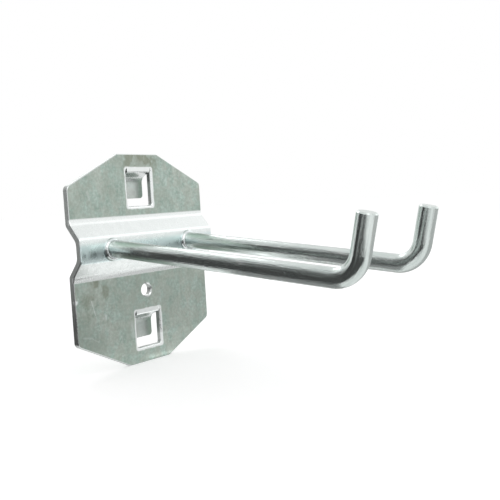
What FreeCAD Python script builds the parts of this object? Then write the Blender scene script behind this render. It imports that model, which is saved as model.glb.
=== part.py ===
# Double hook: a pressed back plate that hangs by two tongues, and two bent wire prongs welded to its rib.
# Frame: X across the plate, Y to the rear, Z up.
# The plate's flat back lies in the plane y = 0, and the origin is midway between the two tongues.
import FreeCAD, Part
import math
import os

Vector = FreeCAD.Vector

# Sizes are in millimetres and angles in degrees.

# Back plate
SHEET = 1.5            # thickness of the sheet
PLATE_WIDTH = 48.5
PLATE_HEIGHT = 56.0
TOP_EDGE = 14.5        # straight part of the top edge and of the bottom edge
SIDE_EDGE = 39.5       # straight part of each side edge
CORNER_RADIUS = 1.5
EDGE_ROLL = 0.3        # how far the punch draws the front edges in

# Rib pressed forwards across the plate, measured on its front
RIB_CENTRE = 3.9       # above the plate's middle
RIB_BASE = 13.7
RIB_CREST = 5.6
RIB_DEPTH = 3.4
RIB_BEND = 1.1         # inside radius of its four bends

# Slots and the tongues lanced out of them
SLOT_PITCH = 38.0      # the spacing of the holes that it hangs in
SLOT_WIDTH = 8.8
SLOT_HEIGHT = 9.7
SLOT_CORNER = 0.6
SLOT_ROLL = 0.6        # how far the punch draws a slot's front edges in
TONGUE_SIDE_GAP = 0.3  # between a tongue and each side of its slot
TONGUE_DROP = 7.6      # from the slot's top edge down to the tongue's end
TONGUE_ANGLE = 65.0    # slope of the joggle, from the plate's plane
TONGUE_BEND = 0.5      # inside radius of its two bends
TONGUE_CORNER = 1.0
SEAT_GAP = 1.8         # between the plate's back and a tongue, for the sheet that it hangs on

# Hole for a securing screw, midway between the rib and the lower slot
SCREW_HOLE = 3.4

# Prongs, measured along the wire's centre line
WIRE = 4.4             # diameter
PRONG_SPACING = 28.0
PRONG_REACH = 70.0     # from the rib's crest to the corner where both straight runs would meet
PRONG_DROOP = 5.5      # below the square to the plate
TIP_RISE = 13.8        # from that corner to the tip's end
TIP_LEAN = 13.0        # outwards from the plate's plane
WIRE_BEND = 6.0        # radius of the bend
TIP_BEVEL = 0.35       # bevel round the cut end

# Weld flash, the thin ring squeezed out round a prong's foot
FLASH_PROUD = 0.35
FLASH_HEIGHT = 0.5
FLASH_BEVEL = 0.25

# Places that follow from the sizes
FRONT = -SHEET
CREST = FRONT - RIB_DEPTH
RIB_TOP = RIB_CENTRE + RIB_BASE / 2
RIB_FOOT = RIB_CENTRE - RIB_BASE / 2
UPPER_SLOT_TOP = SLOT_PITCH / 2 + SLOT_HEIGHT / 2
LOWER_SLOT_TOP = UPPER_SLOT_TOP - SLOT_PITCH
SCREW_HOLE_Z = (RIB_FOOT + LOWER_SLOT_TOP) / 2
# How far a cutter or a blank reaches past what it cuts, on every side.
PAST = SHEET + RIB_DEPTH + SEAT_GAP + WIRE

# Tests on a face normal's share along Y
ALMOST_ZERO = 1e-6
FACES_FRONT = 0.1


def rounded_edges(points, radii, closed=False):
    """Straight edges through the points, with a tangent arc of the given radius at each corner."""
    count = len(points)
    starts = []
    ends = []
    arcs = []
    for index, corner in enumerate(points):
        is_end = not closed and index in (0, count - 1)
        radius = 0 if is_end else radii[index]
        if radius == 0:
            starts.append(corner)
            ends.append(corner)
            continue
        back = (points[index - 1] - corner).normalize()
        ahead = (points[(index + 1) % count] - corner).normalize()
        half_angle = back.getAngle(ahead) / 2
        middle = (back + ahead).normalize()
        centre = corner + middle * (radius / math.sin(half_angle))
        run = radius / math.tan(half_angle)
        starts.append(corner + back * run)
        ends.append(corner + ahead * run)
        arcs.append(Part.Arc(starts[-1], centre - middle * radius, ends[-1]).toShape())
    last = count if closed else count - 1
    lines = []
    for index in range(last):
        lines.append(Part.makeLine(ends[index], starts[(index + 1) % count]))
    return lines + arcs


def solid_from(edges, along):
    """The closed outline that the edges make, filled and pushed along a vector."""
    outline = Part.Wire(Part.__sortEdges__(edges))
    return Part.Face(outline).extrude(along)


def bent_sheet(front_path, bend):
    """Sheet of even thickness whose front follows a path of (y, z) points, from the top down."""
    front = [Vector(-PLATE_WIDTH / 2 - PAST, y, z) for y, z in front_path]
    across = Vector(1, 0, 0)
    normals = []
    for here, below in zip(front, front[1:]):
        normals.append(across.cross(below - here).normalize())
    back = [front[0] + normals[0] * SHEET]
    front_radii = [0]
    back_radii = [0]
    for index in range(1, len(front) - 1):
        above = normals[index - 1]
        under = normals[index]
        back.append(front[index] + (above + under) * (SHEET / (1 + above.dot(under))))
        front_is_outside = above.cross(under).x < 0
        front_radii.append(bend + SHEET if front_is_outside else bend)
        back_radii.append(bend if front_is_outside else bend + SHEET)
    back.append(front[-1] + normals[-1] * SHEET)
    edges = rounded_edges(front, front_radii + [0])
    edges += rounded_edges(back, back_radii + [0])
    edges.append(Part.makeLine(front[0], back[0]))
    edges.append(Part.makeLine(front[-1], back[-1]))
    return solid_from(edges, across * (PLATE_WIDTH + 2 * PAST))


def punch(outline, radii):
    """Cutter through the sheet with an outline of (x, z) points and rounded corners."""
    points = [Vector(x, -PAST, z) for x, z in outline]
    return solid_from(rounded_edges(points, radii, closed=True), Vector(0, 2 * PAST, 0))


def plate_blank():
    """The octagonal sheet with its rib."""
    top = PLATE_HEIGHT / 2
    ribbed_path = [
        (FRONT, top + PAST),
        (FRONT, RIB_TOP),
        (CREST, RIB_CENTRE + RIB_CREST / 2),
        (CREST, RIB_CENTRE - RIB_CREST / 2),
        (FRONT, RIB_FOOT),
        (FRONT, -top - PAST),
    ]
    side = PLATE_WIDTH / 2
    half_top = TOP_EDGE / 2
    half_side = SIDE_EDGE / 2
    right_half = [(half_top, top), (side, half_side), (side, -half_side), (half_top, -top)]
    left_half = [(-x, z) for x, z in reversed(right_half)]
    octagon = right_half + left_half
    return bent_sheet(ribbed_path, RIB_BEND).common(punch(octagon, [CORNER_RADIUS] * len(octagon)))


def slot_punch(slot_top):
    half = SLOT_WIDTH / 2
    foot = slot_top - SLOT_HEIGHT
    outline = [(half, slot_top), (half, foot), (-half, foot), (-half, slot_top)]
    return punch(outline, [SLOT_CORNER] * len(outline))


def screw_hole_punch():
    centre = Vector(0, -PAST, SCREW_HOLE_Z)
    return Part.makeCylinder(SCREW_HOLE / 2, 2 * PAST, centre, Vector(0, 1, 0))


def front_edges(plate):
    """The edges where the plate's front meets a punched wall."""
    found = []
    for edge in plate.Edges:
        middle = edge.valueAt((edge.FirstParameter + edge.LastParameter) / 2)
        rearwards = []
        for face in plate.ancestorsOfType(edge, Part.Face):
            u, v = face.Surface.parameter(middle)
            rearwards.append(face.normalAt(u, v).y)
        meets_wall = min(abs(y) for y in rearwards) < ALMOST_ZERO
        if meets_wall and min(rearwards) < -FACES_FRONT:
            found.append(edge)
    return found


def tongue(slot_top):
    """Strip bent back through its slot, then down again at the seat's distance behind the plate."""
    root = slot_top + SHEET
    slope = math.radians(TONGUE_ANGLE)
    first_bend = slot_top + SLOT_ROLL - (TONGUE_BEND + SHEET) * math.tan(slope / 2)
    second_bend = first_bend - (SEAT_GAP - FRONT) / math.tan(slope)
    tip = slot_top - TONGUE_DROP
    joggled_path = [
        (FRONT, root),
        (FRONT, first_bend),
        (SEAT_GAP, second_bend),
        (SEAT_GAP, tip - PAST),
    ]
    half = SLOT_WIDTH / 2 - TONGUE_SIDE_GAP
    outline = [(half, root), (half, tip), (-half, tip), (-half, root)]
    strip = punch(outline, [0, TONGUE_CORNER, TONGUE_CORNER, 0])
    return bent_sheet(joggled_path, TONGUE_BEND).common(strip)


def back_plate():
    plate = plate_blank()
    plate = plate.makeFillet(EDGE_ROLL, front_edges(plate))
    for slot_top in (UPPER_SLOT_TOP, LOWER_SLOT_TOP):
        plate = plate.cut(slot_punch(slot_top))
    plate = plate.makeFillet(SLOT_ROLL, front_edges(plate))
    plate = plate.cut(screw_hole_punch())
    plate = plate.makeChamfer(EDGE_ROLL, front_edges(plate))
    for slot_top in (UPPER_SLOT_TOP, LOWER_SLOT_TOP):
        plate = plate.fuse(tongue(slot_top))
    return plate.removeSplitter()


def weld_flash(foot):
    """Low ring with a bevelled rim, standing on the rib's crest."""
    sunk = SHEET / 2
    ring = Part.makeCylinder(
        WIRE / 2 + FLASH_PROUD,
        FLASH_HEIGHT + sunk,
        foot + Vector(0, sunk, 0),
        Vector(0, -1, 0),
    )
    rim = min(ring.Edges, key=lambda edge: edge.CenterOfMass.y)
    return ring.makeChamfer(FLASH_BEVEL, [rim])


def prong(x, plate):
    """Bent wire whose foot is shaped to the rib's crest."""
    droop = math.radians(PRONG_DROOP)
    lean = math.radians(TIP_LEAN)
    outwards = Vector(0, -math.cos(droop), -math.sin(droop))
    upwards = Vector(0, -math.sin(lean), math.cos(lean))
    foot = Vector(x, CREST, RIB_CENTRE)
    start = foot - outwards * (SHEET / 2)
    corner = foot + outwards * PRONG_REACH
    end = corner + upwards * TIP_RISE
    path = Part.Wire(Part.__sortEdges__(rounded_edges([start, corner, end], [0, WIRE_BEND, 0])))
    section = Part.Wire(Part.makeCircle(WIRE / 2, start, outwards))
    wire = Part.Solid(path.makePipeShell([section], True, False))
    cut_end = min(wire.Edges, key=lambda edge: edge.CenterOfMass.distanceToPoint(end))
    wire = wire.makeChamfer(TIP_BEVEL, [cut_end])
    return wire.fuse(weld_flash(foot)).cut(plate).removeSplitter()


def main():
    plate = back_plate()
    nodes = {
        "back_plate": plate,
        "left_prong": prong(-PRONG_SPACING / 2, plate),
        "right_prong": prong(PRONG_SPACING / 2, plate),
    }
    os.makedirs("parts", exist_ok=True)
    for name, shape in nodes.items():
        print(name, "solids", len(shape.Solids), "volume", round(shape.Volume, 1), "valid", shape.isValid())
        shape.exportStep(f"parts/{name}.step")


main()
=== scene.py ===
# %% [markdown]
# # Double hook of zinc-plated steel
# The hook is one welded piece: a pressed plate that hangs by two tongues, and two bent wires on its rib.
# Its solids come from CAD and stay as they are. This lesson gives them their finishes, lays an uneven
# weld round the foot of each wire, and sets up the floor, the light and the camera.
# Everything is in metres, in the frame of the CAD model: X across the plate, Y to the rear, Z up.

# %% Load the CAD model
import bpy
import math
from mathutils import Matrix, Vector


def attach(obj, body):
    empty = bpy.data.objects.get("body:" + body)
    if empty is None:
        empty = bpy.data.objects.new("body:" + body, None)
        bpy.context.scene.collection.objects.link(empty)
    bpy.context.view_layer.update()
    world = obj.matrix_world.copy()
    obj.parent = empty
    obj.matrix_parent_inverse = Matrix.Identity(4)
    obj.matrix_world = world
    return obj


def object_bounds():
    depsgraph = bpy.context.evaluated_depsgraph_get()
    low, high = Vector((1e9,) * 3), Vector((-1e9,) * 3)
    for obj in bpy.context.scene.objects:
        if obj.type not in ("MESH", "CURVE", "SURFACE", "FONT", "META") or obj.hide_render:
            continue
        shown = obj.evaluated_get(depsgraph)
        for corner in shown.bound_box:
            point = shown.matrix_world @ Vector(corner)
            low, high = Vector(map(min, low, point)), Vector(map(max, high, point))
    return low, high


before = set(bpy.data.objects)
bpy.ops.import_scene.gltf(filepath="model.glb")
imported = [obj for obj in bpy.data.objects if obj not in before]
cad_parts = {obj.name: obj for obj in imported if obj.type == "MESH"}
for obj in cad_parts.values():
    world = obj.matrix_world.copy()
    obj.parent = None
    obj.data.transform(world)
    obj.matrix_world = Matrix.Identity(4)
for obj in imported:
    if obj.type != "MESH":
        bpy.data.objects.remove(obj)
cad_low, cad_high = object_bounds()
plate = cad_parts["back_plate"]
prongs = [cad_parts["left_prong"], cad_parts["right_prong"]]
scene = bpy.context.scene
scene.view_settings.view_transform = "Standard"
print("CAD box from", list(cad_low), "to", list(cad_high))

# %% [markdown]
# ## Where things are
# The welds and some patterns follow the wires. Their places could be measured on the meshes, but a mesh
# doesn't say where a bend has its middle, so the wires' few sizes are repeated here from the CAD model.
# A prong leaves the rib's crest, droops a little, and turns up at its end round one bend. From those
# sizes come the two directions of the wire, the middle of the bend and the centre of the cut end.

# %% Repeat the wires' sizes
MM = 0.001
CREST_Y = -4.9 * MM
RIB_CENTRE_Z = 3.9 * MM
PRONG_X = 14.0 * MM
WIRE_RADIUS = 2.2 * MM
WIRE_BEND = 6.0 * MM
PRONG_REACH = 70.0 * MM
PRONG_DROOP = math.radians(5.5)
TIP_LEAN = math.radians(13.0)
TIP_RISE = 13.8 * MM

outwards = Vector((0, -math.cos(PRONG_DROOP), -math.sin(PRONG_DROOP)))
upwards = Vector((0, -math.sin(TIP_LEAN), math.cos(TIP_LEAN)))
wire_foot = Vector((0, CREST_Y, RIB_CENTRE_Z))
wire_corner = wire_foot + outwards * PRONG_REACH
inside_the_bend = (upwards - outwards).normalized()
half_angle = upwards.angle(-outwards) / 2
bend_centre = wire_corner + inside_the_bend * (WIRE_BEND / math.sin(half_angle))
cut_end = wire_corner + upwards * TIP_RISE
print("bend centre", tuple(bend_centre), "cut end", tuple(cut_end))

# %% [markdown]
# ## Camera
# The photograph looks at the hook from the left front, almost level with the rib. A camera could be turned
# by eye until the picture looks right. This one's place, turn and lens were fitted instead, to the plate's
# corners, the slots and both wires, with the CAD sizes held fixed, so that shapes can be compared closely.
# The plate leaned a little when it was photographed, and the camera takes that up with a slight roll.

# %% Set up the camera
CAMERA_PLACE = (-0.13948, -0.14646, 0.01438)
CAMERA_TURN = (86.02, 3.32, -52.31)

camera_data = bpy.data.cameras.new("photo_camera")
camera_data.sensor_width = 36.0
camera_data.lens = 53.19
camera_data.clip_start = 5 * MM
camera = bpy.data.objects.new("photo_camera", camera_data)
camera.location = CAMERA_PLACE
camera.rotation_euler = [math.radians(angle) for angle in CAMERA_TURN]
scene.collection.objects.link(camera)
scene.camera = camera
print("camera", tuple(camera.location))


# %% [markdown]
# ## Helpers for nodes
# A material is a tree of nodes and the wires between them. In Blender's window they are dragged and joined
# by hand. In a script each takes several lines, so four small helpers keep the cells below short: one adds
# a node with its settings and inputs, one wires an output to an input, one gives an input either a plain
# value or a wire, and one starts a material with an empty tree.

# %% Helpers that add nodes and wires
def add_node(tree, kind, inputs=None, **settings):
    made = tree.nodes.new(kind)
    for name, value in settings.items():
        setattr(made, name, value)
    for name, value in (inputs or {}).items():
        made.inputs[name].default_value = value
    return made


def wire_up(tree, output, target):
    tree.links.new(output, target)


def feed(tree, value, target):
    if isinstance(value, (int, float, tuple)):
        target.default_value = value
    else:
        wire_up(tree, value, target)


def new_material(name):
    material = bpy.data.materials.new(name)
    material.use_nodes = True
    material.node_tree.nodes.clear()
    return material, material.node_tree


print("helpers for nodes ready")


# %% [markdown]
# ## Helpers for masks
# A mask is a value from 0 to 1 that says where something shows. A mask could be painted by hand, but then
# it would belong to one mesh and one picture. Here masks are worked out from distances and patterns. The
# helpers do arithmetic on values, measure along a direction or from a point, split a place into X, Y and Z,
# and give a value soft ends. The last two lead from one level to another as a mask rises, and take the
# strongest of several masks.

# %% Helpers that make masks
def math_node(tree, operation, first, second=0.0, clamp=False):
    made = add_node(tree, "ShaderNodeMath", operation=operation, use_clamp=clamp)
    feed(tree, first, made.inputs[0])
    feed(tree, second, made.inputs[1])
    return made.outputs["Value"]


def dot_node(tree, vector, direction):
    made = add_node(tree, "ShaderNodeVectorMath", {1: direction}, operation="DOT_PRODUCT")
    wire_up(tree, vector, made.inputs[0])
    return made.outputs["Value"]


def from_point(tree, vector, point):
    made = add_node(tree, "ShaderNodeVectorMath", {1: point}, operation="SUBTRACT")
    wire_up(tree, vector, made.inputs[0])
    return made.outputs["Vector"]


def split_vector(tree, vector):
    made = add_node(tree, "ShaderNodeSeparateXYZ")
    wire_up(tree, vector, made.inputs["Vector"])
    return made.outputs


def ramp_value(tree, value, low, high, at_low=0.0, at_high=1.0):
    ends = {"From Min": low, "From Max": high, "To Min": at_low, "To Max": at_high}
    made = add_node(tree, "ShaderNodeMapRange", ends, interpolation_type="SMOOTHSTEP")
    wire_up(tree, value, made.inputs["Value"])
    return made.outputs["Result"]


def by_mask(tree, mask, at_none, at_full):
    return ramp_value(tree, mask, 0.0, 1.0, at_none, at_full)


def strongest(tree, masks):
    chosen = masks[0]
    for mask in masks[1:]:
        chosen = math_node(tree, "MAXIMUM", chosen, mask)
    return chosen


print("helpers for masks ready")

# %% [markdown]
# ## Floor
# The hook is made to hang, but here it stands on a plain pale floor, which touches the plate's lower edge.
# A floor that is lit to pure white would need so much light that the hook turned pale too. So its diffuse
# colour takes the soft shadow, and a little glow, which only camera, mirror and glass rays see, lifts it
# to the white of the background.

# %% Lay the floor
FLOOR_Z = cad_low.z
FLOOR_RADIUS = 4.0
FLOOR_GLOW = 0.42
FLOOR_GREY = (0.8, 0.8, 0.8, 1)
WHITE = (1, 1, 1, 1)

bpy.ops.object.select_all(action="DESELECT")
bpy.ops.mesh.primitive_circle_add(
    vertices=96, radius=FLOOR_RADIUS, fill_type="NGON", location=(0, 0, FLOOR_Z)
)
floor = bpy.context.object
floor.name = "floor"


def seen_directly(tree):
    rays = add_node(tree, "ShaderNodeLightPath").outputs
    return strongest(tree, [rays["Is Camera Ray"], rays["Is Glossy Ray"], rays["Is Transmission Ray"]])


floor_material, tree = new_material("pale_floor")
output = add_node(tree, "ShaderNodeOutputMaterial")
surface = add_node(tree, "ShaderNodeBsdfPrincipled", {"Base Color": FLOOR_GREY, "Roughness": 0.9})
surface.inputs["Specular IOR Level"].default_value = 0.0
surface.inputs["Emission Color"].default_value = WHITE
glow = math_node(tree, "MULTIPLY", seen_directly(tree), FLOOR_GLOW)
wire_up(tree, glow, surface.inputs["Emission Strength"])
wire_up(tree, surface.outputs["BSDF"], output.inputs["Surface"])
floor.data.materials.append(floor_material)
print("floor at", FLOOR_Z)

# %% [markdown]
# ## Background
# A white background could be a big white wall, but the world colour does the same with no mesh. It is full
# white where the camera or a mirror sees it, and a softer white where it only lights things, so that
# colours render about as they are written.

# %% Set the world
SEEN_WHITE = 1.0
LIGHTING_WHITE = 0.75

world = bpy.data.worlds.new("studio")
world.use_nodes = True
scene.world = world
tree = world.node_tree
tree.nodes.clear()
output = add_node(tree, "ShaderNodeOutputWorld")
background = add_node(tree, "ShaderNodeBackground", {"Color": WHITE})
level = by_mask(tree, seen_directly(tree), LIGHTING_WHITE, SEEN_WHITE)
wire_up(tree, level, background.inputs["Strength"])
wire_up(tree, background.outputs["Background"], output.inputs["Surface"])
print("world", world.name)


# %% [markdown]
# ## Lamps
# Three soft round lamps do what a photographer's soft boxes would. The key lamp at the right whitens the
# rib's upper flank. A large one high in front brightens the rib's crest. It leaves the floor alone, because
# it would wash out the shadow. The third stands behind and lights the tops of the wires. A lamp's power is
# its brightness, as a mirror would show it, times pi and its area.

# %% Light the scene
def soft_lamp(name, place, size, brightness, lights_floor=True):
    lamp_data = bpy.data.lights.new(name, "AREA")
    lamp_data.shape = "DISK"
    lamp_data.size = size
    area = math.pi * (size / 2) ** 2
    lamp_data.energy = brightness * math.pi * area
    lamp = bpy.data.objects.new(name, lamp_data)
    lamp.location = place
    lamp.rotation_euler = Vector(place).to_track_quat("Z", "Y").to_euler()
    lamp.visible_diffuse = lights_floor
    scene.collection.objects.link(lamp)
    print(name, "watts", round(lamp_data.energy, 3))


soft_lamp("key_lamp", (0.44, -0.12, 0.34), size=0.44, brightness=0.45)
soft_lamp("front_lamp", (-0.34, -0.60, 0.655), size=0.80, brightness=1.1, lights_floor=False)
soft_lamp("rear_lamp", (0.22, 0.42, 0.44), size=0.30, brightness=1.8)


# %% [markdown]
# ## Cards
# Bright metal shows whatever stands round it, and in an all-white room it would look flat. A photographer
# sets cards round it, out of the picture. Here they are planes that only mirror rays see, so they throw no
# shadow. Two dark ones, on the floor at the left and upright behind it, draw the dark sides of the wires,
# and a grey one lies under the wires. A white strip below the rib brightens its lower flank. A grey card
# lies before the plate, and a small upright flag keeps the strip's white off the plate's lower edge.

# %% Helper that sets a card
LYING = (0, 0, 0)
STANDING = (90, 0, 0)
PLANE_EDGE = 0.5


def card(name, centre, turn, width, height, grey, top_grey=None):
    bpy.ops.object.select_all(action="DESELECT")
    bpy.ops.mesh.primitive_plane_add(size=1.0, location=centre)
    made = bpy.context.object
    made.name = name
    made.scale = (width, height, 1)
    made.rotation_euler = [math.radians(angle) for angle in turn]
    made.visible_camera = False
    made.visible_diffuse = False
    made.visible_transmission = False
    made.visible_shadow = False
    material, tree = new_material(name)
    output = add_node(tree, "ShaderNodeOutputMaterial")
    place = split_vector(tree, add_node(tree, "ShaderNodeTexCoord").outputs["Object"])
    light = add_node(tree, "ShaderNodeEmission")
    last_grey = grey if top_grey is None else top_grey
    shade = ramp_value(tree, place["Y"], -PLANE_EDGE, PLANE_EDGE, grey, last_grey)
    wire_up(tree, shade, light.inputs["Strength"])
    wire_up(tree, light.outputs["Emission"], output.inputs["Surface"])
    made.data.materials.append(material)
    print(name, width, "by", height)


print("helper for cards ready")

# %% [markdown]
# The cards that lie down are laid just above the floor, because two surfaces in one plane show through each
# other in specks. The one under the wires lies a little higher still, clear of the dark one beside it. The
# tall card behind is paler at its top.

# %% Set the cards
ON_FLOOR = FLOOR_Z + 0.5 * MM
REAR_HEIGHT = 0.44
FLAG_HEIGHT = 6.0 * MM

rear_centre = (-0.385, 0.15, FLOOR_Z + REAR_HEIGHT / 2)
under_centre = (-0.010, -0.041, ON_FLOOR + 0.2 * MM)
flag_centre = (0.030, -0.0036, ON_FLOOR + FLAG_HEIGHT / 2)

card("dark_card_floor", (-0.265, 0.005, ON_FLOOR), LYING, width=0.47, height=0.29, grey=0.08)
card("dark_card_rear", rear_centre, STANDING, width=0.47, height=REAR_HEIGHT, grey=0.05, top_grey=0.25)
card("under_card_floor", under_centre, LYING, width=0.040, height=0.046, grey=0.34)
card("white_card_floor", (0.060, -0.006, ON_FLOOR), LYING, width=0.12, height=0.008, grey=1.7)
card("grey_card_floor", (0.13, -0.12, ON_FLOOR), LYING, width=0.22, height=0.20, grey=0.60)
card("flag_card", flag_centre, STANDING, width=0.075, height=FLAG_HEIGHT, grey=0.86)

# %% [markdown]
# ## Shared surface effects
# All the finishes here are zinc plating on steel, so they share their flaws. The same nodes could be laid
# in each material again, but an effect that is built once as a node group, with named inputs and outputs,
# stays the same wherever it is used, and each material gives it its own sizes. Two helpers start a group
# and lay a noise in it.

# %% Helpers for groups
VECTOR = "NodeSocketVector"
FLOAT = "NodeSocketFloat"


def new_group(name, values, outputs):
    group = bpy.data.node_groups.new(name, "ShaderNodeTree")
    group.interface.new_socket("Vector", in_out="INPUT", socket_type=VECTOR)
    for socket_name, value in values.items():
        socket = group.interface.new_socket(socket_name, in_out="INPUT", socket_type=FLOAT)
        socket.default_value = value
    for socket_name, kind in outputs.items():
        group.interface.new_socket(socket_name, in_out="OUTPUT", socket_type=kind)
    return group, add_node(group, "NodeGroupInput").outputs, add_node(group, "NodeGroupOutput").inputs


def noise(tree, vector, scale, detail, roughness=0.5):
    made = add_node(tree, "ShaderNodeTexNoise", {"Detail": detail, "Roughness": roughness})
    wire_up(tree, vector, made.inputs["Vector"])
    wire_up(tree, scale, made.inputs["Scale"])
    return made.outputs["Fac"]


print("helpers for groups ready")

# %% [markdown]
# A zinc coat is cloudy. A flat grey with one noise over it would look like stone, because light and colour
# would change together. So the group has one noise for light and dark, and another, taken elsewhere, for a
# change of tint. Each is stretched from its middle range to the full range from 0 to 1.

# %% Group: cloudy mottling
CLOUD_RANGE = (0.3, 0.7)
TINT_RANGE = (0.35, 0.65)
TINT_PLACE = (0.3, 0.1, 0.2)

mottling, given, result = new_group("zinc_mottling", {"Scale": 400.0}, {"Clouds": FLOAT, "Tint": FLOAT})
clouds = noise(mottling, given["Vector"], given["Scale"], detail=5.0, roughness=0.62)
elsewhere = from_point(mottling, given["Vector"], TINT_PLACE)
tint = noise(mottling, elsewhere, given["Scale"], detail=2.0)
wire_up(mottling, ramp_value(mottling, clouds, *CLOUD_RANGE), result["Clouds"])
wire_up(mottling, ramp_value(mottling, tint, *TINT_RANGE), result["Tint"])
print("group", mottling.name)

# %% [markdown]
# Rolling the sheet and drawing the wire leave fine lines in the steel, all one way. Real lines would take
# far too many faces, so they are a noise, and a material that uses the group stretches it along its lines.

# %% Group: fine lines
LINE_RANGE = (0.25, 0.75)

lines, given, result = new_group("fine_lines", {"Scale": 2000.0}, {"Lines": FLOAT})
streaks = noise(lines, given["Vector"], given["Scale"], detail=4.0, roughness=0.7)
wire_up(lines, ramp_value(lines, streaks, *LINE_RANGE), result["Lines"])
print("group", lines.name)

# %% [markdown]
# Use leaves hairline scratches. They could be drawn one by one, but there are too many. Where a smooth
# noise passes through its middle value, it draws a long thin wandering line, which makes a good scratch. A
# second, finer noise breaks the lines up, so that few are left.

# %% Group: hairline scratches
NOISE_MIDDLE = 0.5
PATCH_FINENESS = 2.2
PATCH_RANGE = (0.52, 0.6)
PATCH_PLACE = (0.5, 0.2, 0.4)

scratches, given, result = new_group(
    "hairline_scratches", {"Scale": 120.0, "Width": 0.01}, {"Scratch": FLOAT}
)
path = noise(scratches, given["Vector"], given["Scale"], detail=1.0, roughness=0.4)
elsewhere = from_point(scratches, given["Vector"], PATCH_PLACE)
patch_scale = math_node(scratches, "MULTIPLY", given["Scale"], PATCH_FINENESS)
patch = noise(scratches, elsewhere, patch_scale, detail=0.0)
off_line = math_node(scratches, "ABSOLUTE", math_node(scratches, "SUBTRACT", path, NOISE_MIDDLE))
share = math_node(scratches, "DIVIDE", off_line, given["Width"])
on_line = math_node(scratches, "SUBTRACT", 1.0, share, clamp=True)
broken = ramp_value(scratches, patch, *PATCH_RANGE)
wire_up(scratches, math_node(scratches, "MULTIPLY", on_line, broken), result["Scratch"])
print("group", scratches.name)


# %% [markdown]
# ## Plated sheet: patterns
# The plate is rolled sheet with a satin zinc coat, grey with a trace of green. Close up it is uneven at
# several sizes: a fine grain, cloudy patches of a few millimetres, and broad faint stains. The rolling
# lines run up and down, and a few light scratches cross them. One noise can't be all of these, so each is
# one of the shared groups at its own scale.

# %% Lay the sheet's patterns
def new_metal(name):
    material, tree = new_material(name)
    output = add_node(tree, "ShaderNodeOutputMaterial")
    metal = add_node(tree, "ShaderNodeBsdfPrincipled", {"Metallic": 1.0})
    wire_up(tree, metal.outputs["BSDF"], output.inputs["Surface"])
    place = add_node(tree, "ShaderNodeTexCoord").outputs["Object"]
    return material, tree, metal, place


def place_group(tree, group, vector, **values):
    made = add_node(tree, "ShaderNodeGroup", values, node_tree=group)
    wire_up(tree, vector, made.inputs["Vector"])
    return made.outputs


def stretched(tree, vector, scale, turn=(0, 0, 0)):
    made = add_node(tree, "ShaderNodeMapping", {"Scale": scale, "Rotation": turn})
    wire_up(tree, vector, made.inputs["Vector"])
    return made.outputs["Vector"]


sheet, tree, metal, on_sheet = new_metal("plated_sheet")
sheet_coat = place_group(tree, mottling, stretched(tree, on_sheet, (1, 1, 0.7)), Scale=420.0)
grain = place_group(tree, mottling, on_sheet, Scale=1300.0)
stains = place_group(tree, mottling, stretched(tree, on_sheet, (1, 1, 0.8)), Scale=90.0)
rolling = place_group(tree, lines, stretched(tree, on_sheet, (1, 1, 0.05)), Scale=2600.0)
slanted = stretched(tree, on_sheet, (1, 1, 0.3), turn=(0, 0.3, 0))
hairlines = place_group(tree, scratches, slanted, Scale=230.0, Width=0.007)
print(sheet.name, "has", len(tree.nodes), "nodes")

# %% [markdown]
# ## Plated sheet: what the tools touched
# The press burnished all that it bent or drew, so the rib, the rolled edges and the tongues are brighter
# than the flat sheet. Such places could be picked face by face, but the mesh of a CAD part isn't to be
# changed. So they are found by what sets them apart. What was bent has a normal that no longer points
# straight ahead, and a punched wall has one that lies in the plate's plane. The rib and the tongues are
# found by their place.

# %% Find what was bent or punched
BENT_RANGE = (0.985, 0.90)
PUNCHED_RANGE = (0.25, 0.10)

normal = split_vector(tree, add_node(tree, "ShaderNodeTexCoord").outputs["Normal"])
facing_ahead = math_node(tree, "ABSOLUTE", normal["Y"])
bent = ramp_value(tree, facing_ahead, *BENT_RANGE)
punched = ramp_value(tree, facing_ahead, *PUNCHED_RANGE)
print(sheet.name, "has", len(tree.nodes), "nodes")

# %% [markdown]
# The rib stands in front of the sheet and the tongues lie behind it, so the depth Y tells them apart. The
# burnished metal is then the strongest of these masks, and the tongues, which were drawn less, count half.

# %% Find the rib and the tongues
SHEET_FRONT_Y = -1.5 * MM
FRONT_RANGE = (SHEET_FRONT_Y + 0.6 * MM, SHEET_FRONT_Y + 0.3 * MM)
CREST_RANGE = (CREST_Y + 0.6 * MM, CREST_Y + 0.05 * MM)
TONGUE_RANGE = (0.2 * MM, 0.9 * MM)
RIB_REACH = 7.6 * MM
RIB_FADE = 0.5 * MM

place = split_vector(tree, on_sheet)
on_front = ramp_value(tree, place["Y"], *FRONT_RANGE)
from_rib = math_node(tree, "ABSOLUTE", math_node(tree, "SUBTRACT", place["Z"], RIB_CENTRE_Z))
near_rib = ramp_value(tree, from_rib, RIB_REACH + RIB_FADE, RIB_REACH)
pressed = math_node(tree, "MULTIPLY", near_rib, on_front)
crest = ramp_value(tree, place["Y"], *CREST_RANGE)
drawn_tongue = ramp_value(tree, place["Y"], *TONGUE_RANGE, at_high=0.5)
burnished = strongest(tree, [bent, crest, pressed, drawn_tongue])
print(sheet.name, "has", len(tree.nodes), "nodes")

# %% [markdown]
# Two bands are painted almost white, as painted highlight: a band at each foot of the rib, where the bends
# catch the light, and the upper shoulder of the crest. Both are found by their height from the middle of
# the rib, and fade softly, because a hard edge would look drawn on.

# %% Find the rib's painted highlight bands
FOOT_RANGE = (6.2 * MM, 6.9 * MM)
SHOULDER_RANGE = (RIB_CENTRE_Z + 0.7 * MM, RIB_CENTRE_Z + 2.2 * MM)

# Painted highlight: near-white at the rib's feet and on the crest's upper shoulder, for the light the bends
# catch.
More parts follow.
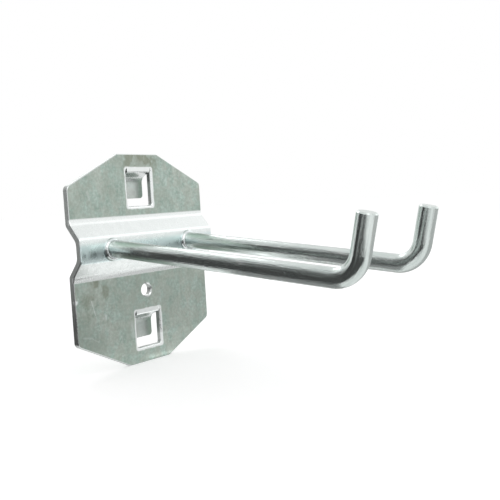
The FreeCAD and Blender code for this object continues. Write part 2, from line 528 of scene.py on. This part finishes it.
painted_foot_highlight = math_node(tree, "MULTIPLY", pressed, ramp_value(tree, from_rib, *FOOT_RANGE))
upper_third = ramp_value(tree, place["Z"], *SHOULDER_RANGE, at_high=0.9)
painted_shoulder_highlight = math_node(tree, "MULTIPLY", crest, upper_third)
print(sheet.name, "has", len(tree.nodes), "nodes")


# %% [markdown]
# ## Plated sheet: slot rims
# The punch rolled the front edges of both slots, and the light they catch is painted as a near-white
# highlight round each. The rim could be picked by its normal alone, but it would be thinner than the
# photograph shows. So it is a band round the slot's outline: the distance from a rectangle, which is the
# same for both slots if the height is taken without its sign. A little of the coat's tint makes the band
# uneven.

# %% Find the slots' painted highlight rims
SLOT_CENTRE_Z = 19.0 * MM
SLOT_HALF_WIDTH = 4.4 * MM
SLOT_HALF_HEIGHT = 4.85 * MM
RIM_WIDTH = 0.95 * MM
RIM_CORE = 0.55 * MM
RIM_WAVER = 0.06 * MM


def past_edge(tree, value, middle, half):
    offset = math_node(tree, "ABSOLUTE", math_node(tree, "SUBTRACT", value, middle))
    return math_node(tree, "MAXIMUM", math_node(tree, "SUBTRACT", offset, half), 0.0)


def distance_from(tree, first, second):
    first_squared = math_node(tree, "POWER", first, 2.0)
    second_squared = math_node(tree, "POWER", second, 2.0)
    return math_node(tree, "SQRT", math_node(tree, "ADD", first_squared, second_squared))


beside_slot = past_edge(tree, place["X"], 0.0, SLOT_HALF_WIDTH)
height = math_node(tree, "ABSOLUTE", place["Z"])
above_slot = past_edge(tree, height, SLOT_CENTRE_Z, SLOT_HALF_HEIGHT)
from_slot = distance_from(tree, beside_slot, above_slot)
waver = by_mask(tree, sheet_coat["Tint"], -RIM_WAVER, RIM_WAVER)
around_slot = ramp_value(tree, math_node(tree, "ADD", from_slot, waver), RIM_WIDTH, RIM_CORE)
not_wall = math_node(tree, "SUBTRACT", 1.0, punched)
# Painted highlight: the near-white band round each slot stands in for the light on the rolled edge.
painted_rim_highlight = math_node(tree, "MULTIPLY", math_node(tree, "MULTIPLY", around_slot, not_wall), on_front)
print(sheet.name, "has", len(tree.nodes), "nodes")


# %% [markdown]
# ## Plated sheet: marks of use
# The photograph shows a few marks on the front: short rubs, dull stains below the rib and at the top, and a
# nick in the left edge, whose glint is painted white as a highlight. A noise would put them anywhere, so
# each is given its own place. A spot fades from its centre, and the coat's tint makes its edge ragged. A
# stroke fades from the line between two points.

# %% Helpers for spots and strokes
RAGGED_SHARE = 0.4
SPOT_CORE = 0.1
STROKE_CORE = 0.2


def on_face(x, z):
    return Vector((x * MM, SHEET_FRONT_Y, z * MM))


def spot(tree, centre, radius, strength=1.0):
    away = add_node(tree, "ShaderNodeVectorMath", operation="LENGTH")
    wire_up(tree, from_point(tree, on_sheet, centre), away.inputs[0])
    ragged = RAGGED_SHARE * radius
    raggedness = by_mask(tree, sheet_coat["Tint"], -ragged, ragged)
    reach = math_node(tree, "ADD", away.outputs["Value"], raggedness)
    return ramp_value(tree, reach, radius, SPOT_CORE * radius, at_high=strength)


def stroke(tree, start, end, width, strength=1.0):
    run = end - start
    from_start = from_point(tree, on_sheet, start)
    share = math_node(tree, "DIVIDE", dot_node(tree, from_start, run), run.length_squared, clamp=True)
    along = add_node(tree, "ShaderNodeVectorMath", {0: run}, operation="SCALE")
    wire_up(tree, share, along.inputs["Scale"])
    off_stroke = add_node(tree, "ShaderNodeVectorMath", operation="DISTANCE")
    wire_up(tree, from_start, off_stroke.inputs[0])
    wire_up(tree, along.outputs["Vector"], off_stroke.inputs[1])
    return ramp_value(tree, off_stroke.outputs["Value"], width, STROKE_CORE * width, at_high=strength)


print("helpers for marks ready")

# %% [markdown]
# The places are in millimetres across and up the plate's front. Marks of one kind are joined by taking the
# strongest, and they are kept off the back of the sheet.

# %% Place the marks
rubs = strongest(tree, [
    stroke(tree, on_face(-19.2, -9.0), on_face(-18.2, -12.7), width=0.22 * MM),
    stroke(tree, on_face(-22.5, -17.8), on_face(-19.7, -18.3), width=0.45 * MM, strength=0.5),
    stroke(tree, on_face(-18.1, 18.3), on_face(-17.5, 16.3), width=0.6 * MM, strength=0.45),
    stroke(tree, on_face(-6.1, -16.6), on_face(-5.9, -20.4), width=1.0 * MM, strength=0.5),
    spot(tree, on_face(-15.7, -13.9), radius=1.4 * MM),
])
dull_spots = strongest(tree, [
    spot(tree, on_face(-17.9, -5.3), radius=2.8 * MM, strength=0.95),
    spot(tree, on_face(-19.4, -8.2), radius=3.8 * MM, strength=0.65),
    spot(tree, on_face(-14.9, -7.3), radius=2.6 * MM, strength=0.75),
    spot(tree, on_face(-20.4, -12.6), radius=3.2 * MM, strength=0.5),
    spot(tree, on_face(0.5, 27.0), radius=7.0 * MM),
])
front_rubs = math_node(tree, "MULTIPLY", rubs, on_front)
front_spots = math_node(tree, "MULTIPLY", dull_spots, on_front)
# The nick is real, and its glint is painted white: a painted highlight.
nick_and_painted_glint = spot(tree, Vector((-24.2, -1.4, -8.5)) * MM, radius=0.8 * MM)
print(sheet.name, "has", len(tree.nodes), "nodes")


# %% [markdown]
# ## Plated sheet: colour
# One grey would look like plastic. The colour is built up in layers: the cloudy coat first, with its grain,
# tints and stains, then the marks of use, then what the tools burnished or punched, and last the painted
# highlights. Each layer is a colour that is mixed in as far as its mask says. A Mix node has a set of
# sockets for each kind of value under the same names, so the two colours and their mixture are called by
# their numbers.

# %% Helpers for colour
MIX_COLOUR_INPUTS = (6, 7)
MIX_COLOUR_OUTPUT = 2


def mix_colours(tree, factor, first, second):
    made = add_node(tree, "ShaderNodeMix", data_type="RGBA")
    wire_up(tree, factor, made.inputs["Factor"])
    for number, colour in zip(MIX_COLOUR_INPUTS, (first, second)):
        feed(tree, colour, made.inputs[number])
    return made.outputs[MIX_COLOUR_OUTPUT]


def tinge(tree, base, colour, mask, strength):
    return mix_colours(tree, by_mask(tree, mask, 0.0, strength), base, colour)


print("helpers for colour ready")

# %% [markdown]
# The coat comes first. Its grain goes both ways: the same clouds lighten it where they are full and darken
# it where they are empty. Then come a neutral and a warm tint, and the broad stains.

# %% Colour the coat
COAT_DARK = (0.325, 0.435, 0.375, 1)
COAT_PALE = (0.475, 0.612, 0.552, 1)
GRAIN_PALE = (0.62, 0.70, 0.66, 1)
GRAIN_DARK = (0.22, 0.27, 0.24, 1)
GRAIN_STRENGTH = 0.36
NEUTRAL_TINT = (0.43, 0.42, 0.40, 1)
WARM_TINT = (0.47, 0.455, 0.40, 1)
BROAD_STAIN = (0.29, 0.36, 0.31, 1)

coated = mix_colours(tree, sheet_coat["Clouds"], COAT_DARK, COAT_PALE)
coated = tinge(tree, coated, GRAIN_PALE, grain["Clouds"], GRAIN_STRENGTH)
empty_clouds = by_mask(tree, grain["Clouds"], GRAIN_STRENGTH, 0.0)
coated = mix_colours(tree, empty_clouds, coated, GRAIN_DARK)
coated = tinge(tree, coated, NEUTRAL_TINT, grain["Tint"], strength=0.25)
coated = tinge(tree, coated, WARM_TINT, sheet_coat["Tint"], strength=0.34)
coated = tinge(tree, coated, BROAD_STAIN, stains["Clouds"], strength=0.38)
print(sheet.name, "has", len(tree.nodes), "nodes")

# %% [markdown]
# Over the coat go the marks of use, and then what the tools left: burnished metal and grey punched walls.
# Then come the painted highlights, near-white on the slot rims, the rib's feet and the nick, the crest,
# whose colour is a little bluer, and a painted highlight on the crest's upper shoulder. The order matters,
# because each layer covers the ones before it. The hairline scratches come last and lie over all of it.

# %% Colour the marks, the worked metal and the painted highlights
DULL_MARK = (0.25, 0.26, 0.20, 1)
RUBBED_ZINC = (0.66, 0.71, 0.69, 1)
BURNISHED_ZINC = (0.62, 0.645, 0.638, 1)
PUNCHED_STEEL = (0.42, 0.44, 0.43, 1)
PAINTED_WHITE_HIGHLIGHT = (0.84, 0.87, 0.86, 1)
CREST_ZINC = (0.67, 0.78, 0.78, 1)
PAINTED_SHOULDER_HIGHLIGHT = (0.86, 0.89, 0.88, 1)
HAIRLINE = (0.70, 0.73, 0.72, 1)

colour = tinge(tree, coated, DULL_MARK, front_spots, strength=0.7)
colour = tinge(tree, colour, RUBBED_ZINC, front_rubs, strength=0.6)
colour = mix_colours(tree, burnished, colour, BURNISHED_ZINC)
colour = mix_colours(tree, punched, colour, PUNCHED_STEEL)
# Painted highlight: near-white where the slot rims, the rib's feet and the nick catch the light.
colour = mix_colours(tree, strongest(tree, [painted_foot_highlight, painted_rim_highlight, nick_and_painted_glint]), colour, PAINTED_WHITE_HIGHLIGHT)
colour = mix_colours(tree, crest, colour, CREST_ZINC)
# Painted highlight on the crest's upper shoulder.
colour = mix_colours(tree, painted_shoulder_highlight, colour, PAINTED_SHOULDER_HIGHLIGHT)
colour = tinge(tree, colour, HAIRLINE, hairlines["Scratch"], strength=0.25)
wire_up(tree, colour, metal.inputs["Base Color"])
print(sheet.name, "has", len(tree.nodes), "nodes")


# %% [markdown]
# ## Plated sheet: shine and relief
# Roughness says how blurred the metal mirrors. The coat is satin, duller in its dark patches, and burnished
# metal is smoother. The crest is patchy, as if it had been pressed unevenly, and the punched walls are a
# little rougher. The rolling lines and scratches are far too shallow to model, so a bump node tilts the
# light on them, and where the tools pressed they are almost flattened.

# %% Give the sheet its shine and relief
def add_relief(tree, metal, relief, strength, depth):
    bump = add_node(tree, "ShaderNodeBump", {"Strength": strength, "Distance": depth})
    wire_up(tree, relief, bump.inputs["Height"])
    wire_up(tree, bump.outputs["Normal"], metal.inputs["Normal"])


satin = by_mask(tree, sheet_coat["Clouds"], at_none=0.40, at_full=0.33)
satin = math_node(tree, "ADD", satin, by_mask(tree, rolling["Lines"], at_none=-0.025, at_full=0.025))
satin = math_node(tree, "MULTIPLY", satin, by_mask(tree, burnished, at_none=1.0, at_full=0.75))
patchy = by_mask(tree, sheet_coat["Tint"], at_none=0.9, at_full=1.3)
patchy_crest = math_node(tree, "MULTIPLY", crest, math_node(tree, "SUBTRACT", 1.0, patchy))
satin = math_node(tree, "MULTIPLY", satin, math_node(tree, "SUBTRACT", 1.0, patchy_crest))
satin = math_node(tree, "ADD", satin, by_mask(tree, punched, at_none=0.0, at_full=0.06))
wire_up(tree, satin, metal.inputs["Roughness"])

relief = math_node(tree, "SUBTRACT", rolling["Lines"], hairlines["Scratch"])
relief = math_node(tree, "MULTIPLY", relief, by_mask(tree, burnished, at_none=1.0, at_full=0.15))
add_relief(tree, metal, relief, strength=0.35, depth=0.03 * MM)
plate.material_slots[0].material = sheet
print(sheet.name, "has", len(tree.nodes), "nodes")

# %% [markdown]
# ## Plated wire: along and across
# The prongs are drawn wire, and drawing leaves fine lines along it, which have to follow the bend. A map of
# the surface laid out flat would do that, but a CAD mesh has none. So this group works out where a point
# lies across the wire: how far it is from the middle of the bend, measured square to the nearest straight
# run, or straight out from the middle inside the bend. It also gives the height from the cut end.

# %% Start the group: how far out
wire_section, given, result = new_group("wire_section", {}, {"Across": VECTOR, "From End": FLOAT})
across = Vector((1, 0, 0))
from_bend = from_point(wire_section, given["Vector"], bend_centre)
along_run = dot_node(wire_section, from_bend, outwards)
along_tip = dot_node(wire_section, from_bend, upwards)
beside_run = math_node(wire_section, "ABSOLUTE", dot_node(wire_section, from_bend, across.cross(outwards)))
beside_tip = math_node(wire_section, "ABSOLUTE", dot_node(wire_section, from_bend, across.cross(upwards)))
past_run = math_node(wire_section, "MAXIMUM", along_run, 0.0)
before_tip = math_node(wire_section, "ABSOLUTE", math_node(wire_section, "MINIMUM", along_tip, 0.0))
out_from_run = distance_from(wire_section, past_run, beside_run)
out_from_tip = distance_from(wire_section, before_tip, beside_tip)
print(wire_section.name, "has", len(wire_section.nodes), "nodes")

# %% [markdown]
# A point above the middle of the bend belongs to the tip, and any other to the run, so a Mix node picks one
# of the two distances. With the place across the plate and a measure along the wire, it makes a new set of
# coordinates, in which the wire is straight. The patterns are then laid out in those.

# %% Finish the group: coordinates of a straight wire
MIX_VALUE_INPUTS = (2, 3)
MIX_VALUE_OUTPUT = 0

on_tip = math_node(wire_section, "GREATER_THAN", along_tip, 0.0)
chosen = add_node(wire_section, "ShaderNodeMix", data_type="FLOAT")
wire_up(wire_section, on_tip, chosen.inputs["Factor"])
for number, distance in zip(MIX_VALUE_INPUTS, (out_from_run, out_from_tip)):
    wire_up(wire_section, distance, chosen.inputs[number])
along_wire = dot_node(wire_section, from_bend, (outwards + upwards).normalized())
joined = add_node(wire_section, "ShaderNodeCombineXYZ")
wire_up(wire_section, split_vector(wire_section, given["Vector"])["X"], joined.inputs["X"])
wire_up(wire_section, chosen.outputs[MIX_VALUE_OUTPUT], joined.inputs["Y"])
wire_up(wire_section, along_wire, joined.inputs["Z"])
wire_up(wire_section, joined.outputs["Vector"], result["Across"])
from_end = dot_node(wire_section, from_point(wire_section, given["Vector"], cut_end), upwards)
wire_up(wire_section, from_end, result["From End"])
print("group", wire_section.name)

# %% [markdown]
# ## Plated wire: colour
# The wire has a brighter coat than the sheet. Its clouds, drawing lines and scratches are the shared
# groups. They could lie in any direction, but the wire was pulled through a die, and what hangs on it
# slides along it, so all of them are stretched along the wire. The sheared end is found by its height, and
# is an even grey.

# %% Colour the wire
WIRE_DARK = (0.57, 0.63, 0.61, 1)
WIRE_PALE = (0.67, 0.72, 0.70, 1)
DRAWING_LINE = (0.46, 0.50, 0.49, 1)
WIRE_SCRATCH = (0.78, 0.81, 0.80, 1)
SHEARED_END = (0.62, 0.655, 0.64, 1)
SHEARED_RANGE = (-0.06 * MM, -0.03 * MM)

drawn, tree, metal, on_wire = new_metal("plated_wire")
section = place_group(tree, wire_section, on_wire)
drawing = place_group(tree, lines, stretched(tree, section["Across"], (1, 1, 0.03)), Scale=2400.0)
wire_coat = place_group(tree, mottling, stretched(tree, section["Across"], (1, 1, 0.3)), Scale=500.0)
lengthwise = stretched(tree, section["Across"], (1, 1, 0.12))
wire_marks = place_group(tree, scratches, lengthwise, Scale=160.0, Width=0.012)
sheared = ramp_value(tree, section["From End"], *SHEARED_RANGE)

colour = mix_colours(tree, wire_coat["Clouds"], WIRE_DARK, WIRE_PALE)
deep_lines = ramp_value(tree, drawing["Lines"], 0.5, 1.0, at_high=0.45)
colour = mix_colours(tree, deep_lines, colour, DRAWING_LINE)
faint_marks = math_node(tree, "MULTIPLY", wire_marks["Scratch"], 0.5)
colour = mix_colours(tree, faint_marks, colour, WIRE_SCRATCH)
colour = mix_colours(tree, sheared, colour, SHEARED_END)
wire_up(tree, colour, metal.inputs["Base Color"])
print(drawn.name, "has", len(tree.nodes), "nodes")

# %% [markdown]
# ## Plated wire: shine and relief
# The wire mirrors more sharply than the sheet, less so on its drawing lines, and its sheared end is dull.
# Its relief is the lines, the scratches and a slight waviness of the coat, which breaks up long
# reflections. All of it is far too fine to model, so it is bump. The upturned tips are rubbed smoother by
# what is hung over them, so the relief fades there.

# %% Give the wire its shine and relief
POLISH_RANGE = (-14.0 * MM, -9.0 * MM)

shine = by_mask(tree, drawing["Lines"], at_none=0.09, at_full=0.23)
shine = math_node(tree, "ADD", shine, by_mask(tree, wire_coat["Clouds"], at_none=0.05, at_full=-0.03))
shine = math_node(tree, "ADD", shine, math_node(tree, "MULTIPLY", sheared, 0.35))
wire_up(tree, shine, metal.inputs["Roughness"])

relief = math_node(tree, "SUBTRACT", drawing["Lines"], wire_marks["Scratch"])
relief = math_node(tree, "ADD", relief, by_mask(tree, wire_coat["Clouds"], at_none=0.0, at_full=1.5))
tip_polish = ramp_value(tree, section["From End"], *POLISH_RANGE, at_low=1.0, at_high=0.4)
relief = math_node(tree, "MULTIPLY", relief, tip_polish)
add_relief(tree, metal, relief, strength=0.85, depth=0.03 * MM)
for prong in prongs:
    prong.material_slots[0].material = drawn
print(drawn.name, "has", len(tree.nodes), "nodes")

# %% [markdown]
# ## Weld beads: lumps and cut
# Each wire is butt-welded to the rib's crest, and the weld squeezed out an uneven collar of metal. Bump
# alone wouldn't show in its outline, so its lumps are real: a cloud texture pushes the mesh in and out, and
# no two places are alike. The collar is cut off just behind the crest. Blender can fill a cut with faces,
# but this one leaves two open rims, one inside the other, so a ring of faces bridges them instead.

# %% Helpers that shape a bead
LUMP_SIZE = 2.4 * MM
LUMP_HEIGHT = 0.30 * MM
LUMP_MIDDLE = 0.35

lumps = bpy.data.textures.new("weld_lumps", "CLOUDS")
lumps.noise_scale = LUMP_SIZE
lumps.noise_depth = 1


def push_lumps(bead):
    displace = bead.modifiers.new("lumps", "DISPLACE")
    displace.texture = lumps
    displace.texture_coords = "LOCAL"
    displace.strength = LUMP_HEIGHT
    displace.mid_level = LUMP_MIDDLE
    bpy.ops.object.modifier_apply(modifier=displace.name)


def cut_and_close(plane_point):
    bpy.ops.object.mode_set(mode="EDIT")
    bpy.ops.mesh.select_mode(type="EDGE")
    bpy.ops.mesh.select_all(action="SELECT")
    bpy.ops.mesh.bisect(plane_co=plane_point, plane_no=(0, 1, 0), clear_outer=True)
    bpy.ops.mesh.select_all(action="DESELECT")
    bpy.ops.mesh.select_non_manifold(extend=False)
    bpy.ops.mesh.bridge_edge_loops()
    bpy.ops.mesh.select_all(action="SELECT")
    bpy.ops.mesh.normals_make_consistent(inside=False)
    bpy.ops.object.mode_set(mode="OBJECT")


print("texture", lumps.name)

# %% [markdown]
# ## Weld beads: the collars
# A collar could be sculpted, but a torus is near to it from the start. It is set a little low, because the
# metal ran before it set, and stretched along the wire. Its place is then put into its mesh, so that the
# lumps, which follow the mesh, differ from one bead to the other.

# %% Model the weld beads
BEAD_REACH = 2.2 * MM
BEAD_THICKNESS = 0.70 * MM
BEAD_STRETCH = 1.3
BEAD_SAG = 0.22 * MM
BEAD_SUNK = 0.1 * MM
SMOOTH_ANGLE = math.radians(40)


def weld_bead(name, x):
    centre = Vector((x, CREST_Y, RIB_CENTRE_Z - BEAD_SAG))
    bpy.ops.object.select_all(action="DESELECT")
    bpy.ops.mesh.primitive_torus_add(
        major_radius=BEAD_REACH, minor_radius=BEAD_THICKNESS, major_segments=96, minor_segments=32,
        location=centre, rotation=(math.radians(90), 0, 0),
    )
    bead = bpy.context.object
    bead.name = name
    bead.scale = (1, 1, BEAD_STRETCH)
    bpy.ops.object.transform_apply(location=True, rotation=True, scale=True)
    push_lumps(bead)
    cut_and_close(centre + Vector((0, BEAD_SUNK, 0)))
    bpy.ops.object.shade_smooth_by_angle(angle=SMOOTH_ANGLE)
    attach(bead, "root")
    return bead


beads = [weld_bead("left_weld_bead", -PRONG_X), weld_bead("right_weld_bead", PRONG_X)]
print([(bead.name, len(bead.data.polygons)) for bead in beads])

# %% [markdown]
# ## Weld finish
# The weld is the same zinc over a coarser ground. It could share the wire's finish, but it has no drawing
# lines. So it takes only the cloudy mottling, at a small scale, for its pits and ripples. Where the collar
# meets the crest its foot is painted dark: faint above the wire, as a dark joint, and strong under it, as
# painted shade.

# %% Build the weld's finish
WELD_GREY = (0.64, 0.69, 0.69, 1)
WELD_PALE = (0.76, 0.80, 0.80, 1)
SEAM_AND_PAINTED_SHADE = (0.12, 0.17, 0.15, 1)
SEAM_RANGE = (CREST_Y - 0.32 * MM, CREST_Y - 0.05 * MM)
UNDER_RANGE = (RIB_CENTRE_Z, RIB_CENTRE_Z - WIRE_RADIUS)

weld, tree, metal, on_weld = new_metal("weld_zinc")
pits = place_group(tree, mottling, on_weld, Scale=1900.0)
place = split_vector(tree, on_weld)
at_crest = ramp_value(tree, place["Y"], *SEAM_RANGE)
under_wire = ramp_value(tree, place["Z"], *UNDER_RANGE, at_low=0.25, at_high=0.9)
# Painted shade: the collar's foot darkens most under the wire, where shade falls, and a little above it as
# a dark joint.
seam_and_painted_shade = math_node(tree, "MULTIPLY", at_crest, under_wire)
colour = mix_colours(tree, pits["Clouds"], WELD_GREY, WELD_PALE)
colour = mix_colours(tree, seam_and_painted_shade, colour, SEAM_AND_PAINTED_SHADE)
wire_up(tree, colour, metal.inputs["Base Color"])
wire_up(tree, by_mask(tree, pits["Tint"], at_none=0.14, at_full=0.24), metal.inputs["Roughness"])
add_relief(tree, metal, pits["Clouds"], strength=0.15, depth=0.06 * MM)
for bead in beads:
    bead.data.materials.append(weld)
print(weld.name, "has", len(tree.nodes), "nodes")
